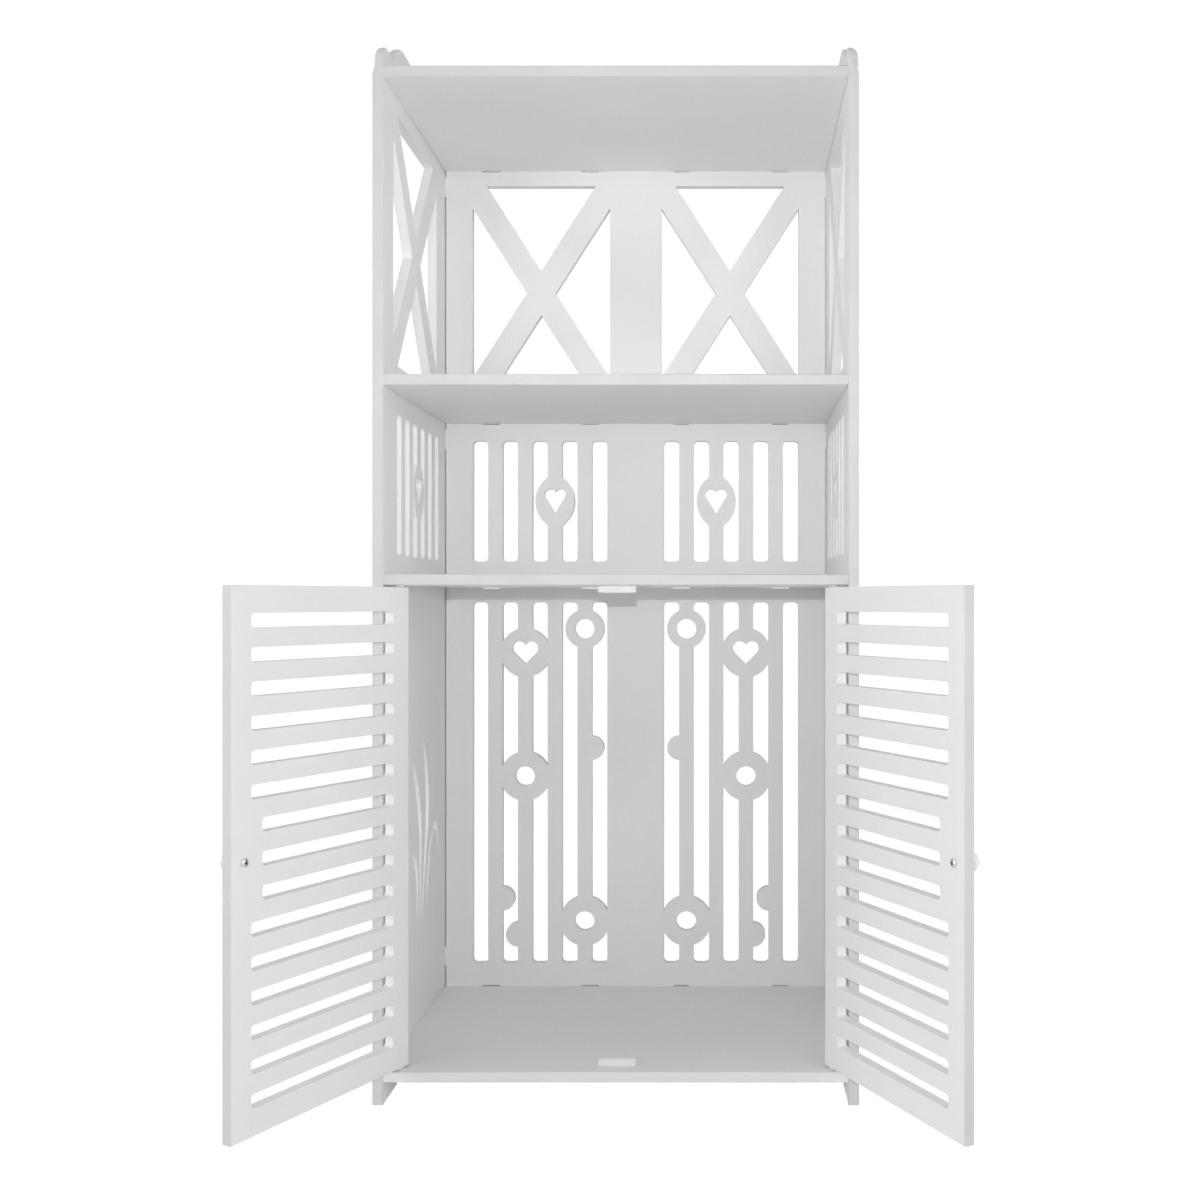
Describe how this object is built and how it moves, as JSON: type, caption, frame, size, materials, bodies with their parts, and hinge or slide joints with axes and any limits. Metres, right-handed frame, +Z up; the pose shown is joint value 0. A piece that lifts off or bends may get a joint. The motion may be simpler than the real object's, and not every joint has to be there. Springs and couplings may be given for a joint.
{
  "type": "louvred door cabinet",
  "caption": "Slim free-standing white cabinet: open shelves over a cupboard with slotted doors, its sides and back pierced by upright slots, crossed windows, hearts and rings.",
  "frame": {"origin": "on the floor, under the middle of the box that holds the cabinet with its doors open", "axes": "+X to the right, +Y from the doors to the back, +Z up"},
  "size_m": [0.6122, 0.452, 1.005],
  "materials": {
    "board_white": "satin",
    "knob_white": "gloss",
    "pin_white": "satin",
    "steel": "bright"
  },
  "bodies": {
    "carcass": {"back_panel": "board_white", "base_board": "board_white", "lower_shelf": "board_white", "upper_shelf": "board_white", "top_board": "board_white", "lower_door_stop": "board_white", "upper_door_stop": "board_white", "left_side_panel": "board_white", "right_side_panel": "board_white", "left_panel_screws": "steel", "right_panel_screws": "steel"},
    "left_leaf": {"left_door": "board_white", "left_door_upper_pin": "pin_white", "left_door_lower_pin": "pin_white", "left_knob": "knob_white", "left_knob_screw": "steel"},
    "right_leaf": {"right_door": "board_white", "right_door_upper_pin": "pin_white", "right_door_lower_pin": "pin_white", "right_knob": "knob_white", "right_knob_screw": "steel"}
  },
  "joints": [
    {"name": "left_door_swing", "type": "hinge", "parent": "carcass", "child": "left_leaf", "pos_m": [-0.2023, -0.04498, 0.256], "axis": [0, 0, 1], "range_deg": [-5.5, 117.5]},
    {"name": "right_door_swing", "type": "hinge", "parent": "carcass", "child": "right_leaf", "pos_m": [0.2023, -0.04498, 0.256], "axis": [0, 0, -1], "range_deg": [-5.5, 117.5]}
  ]
}
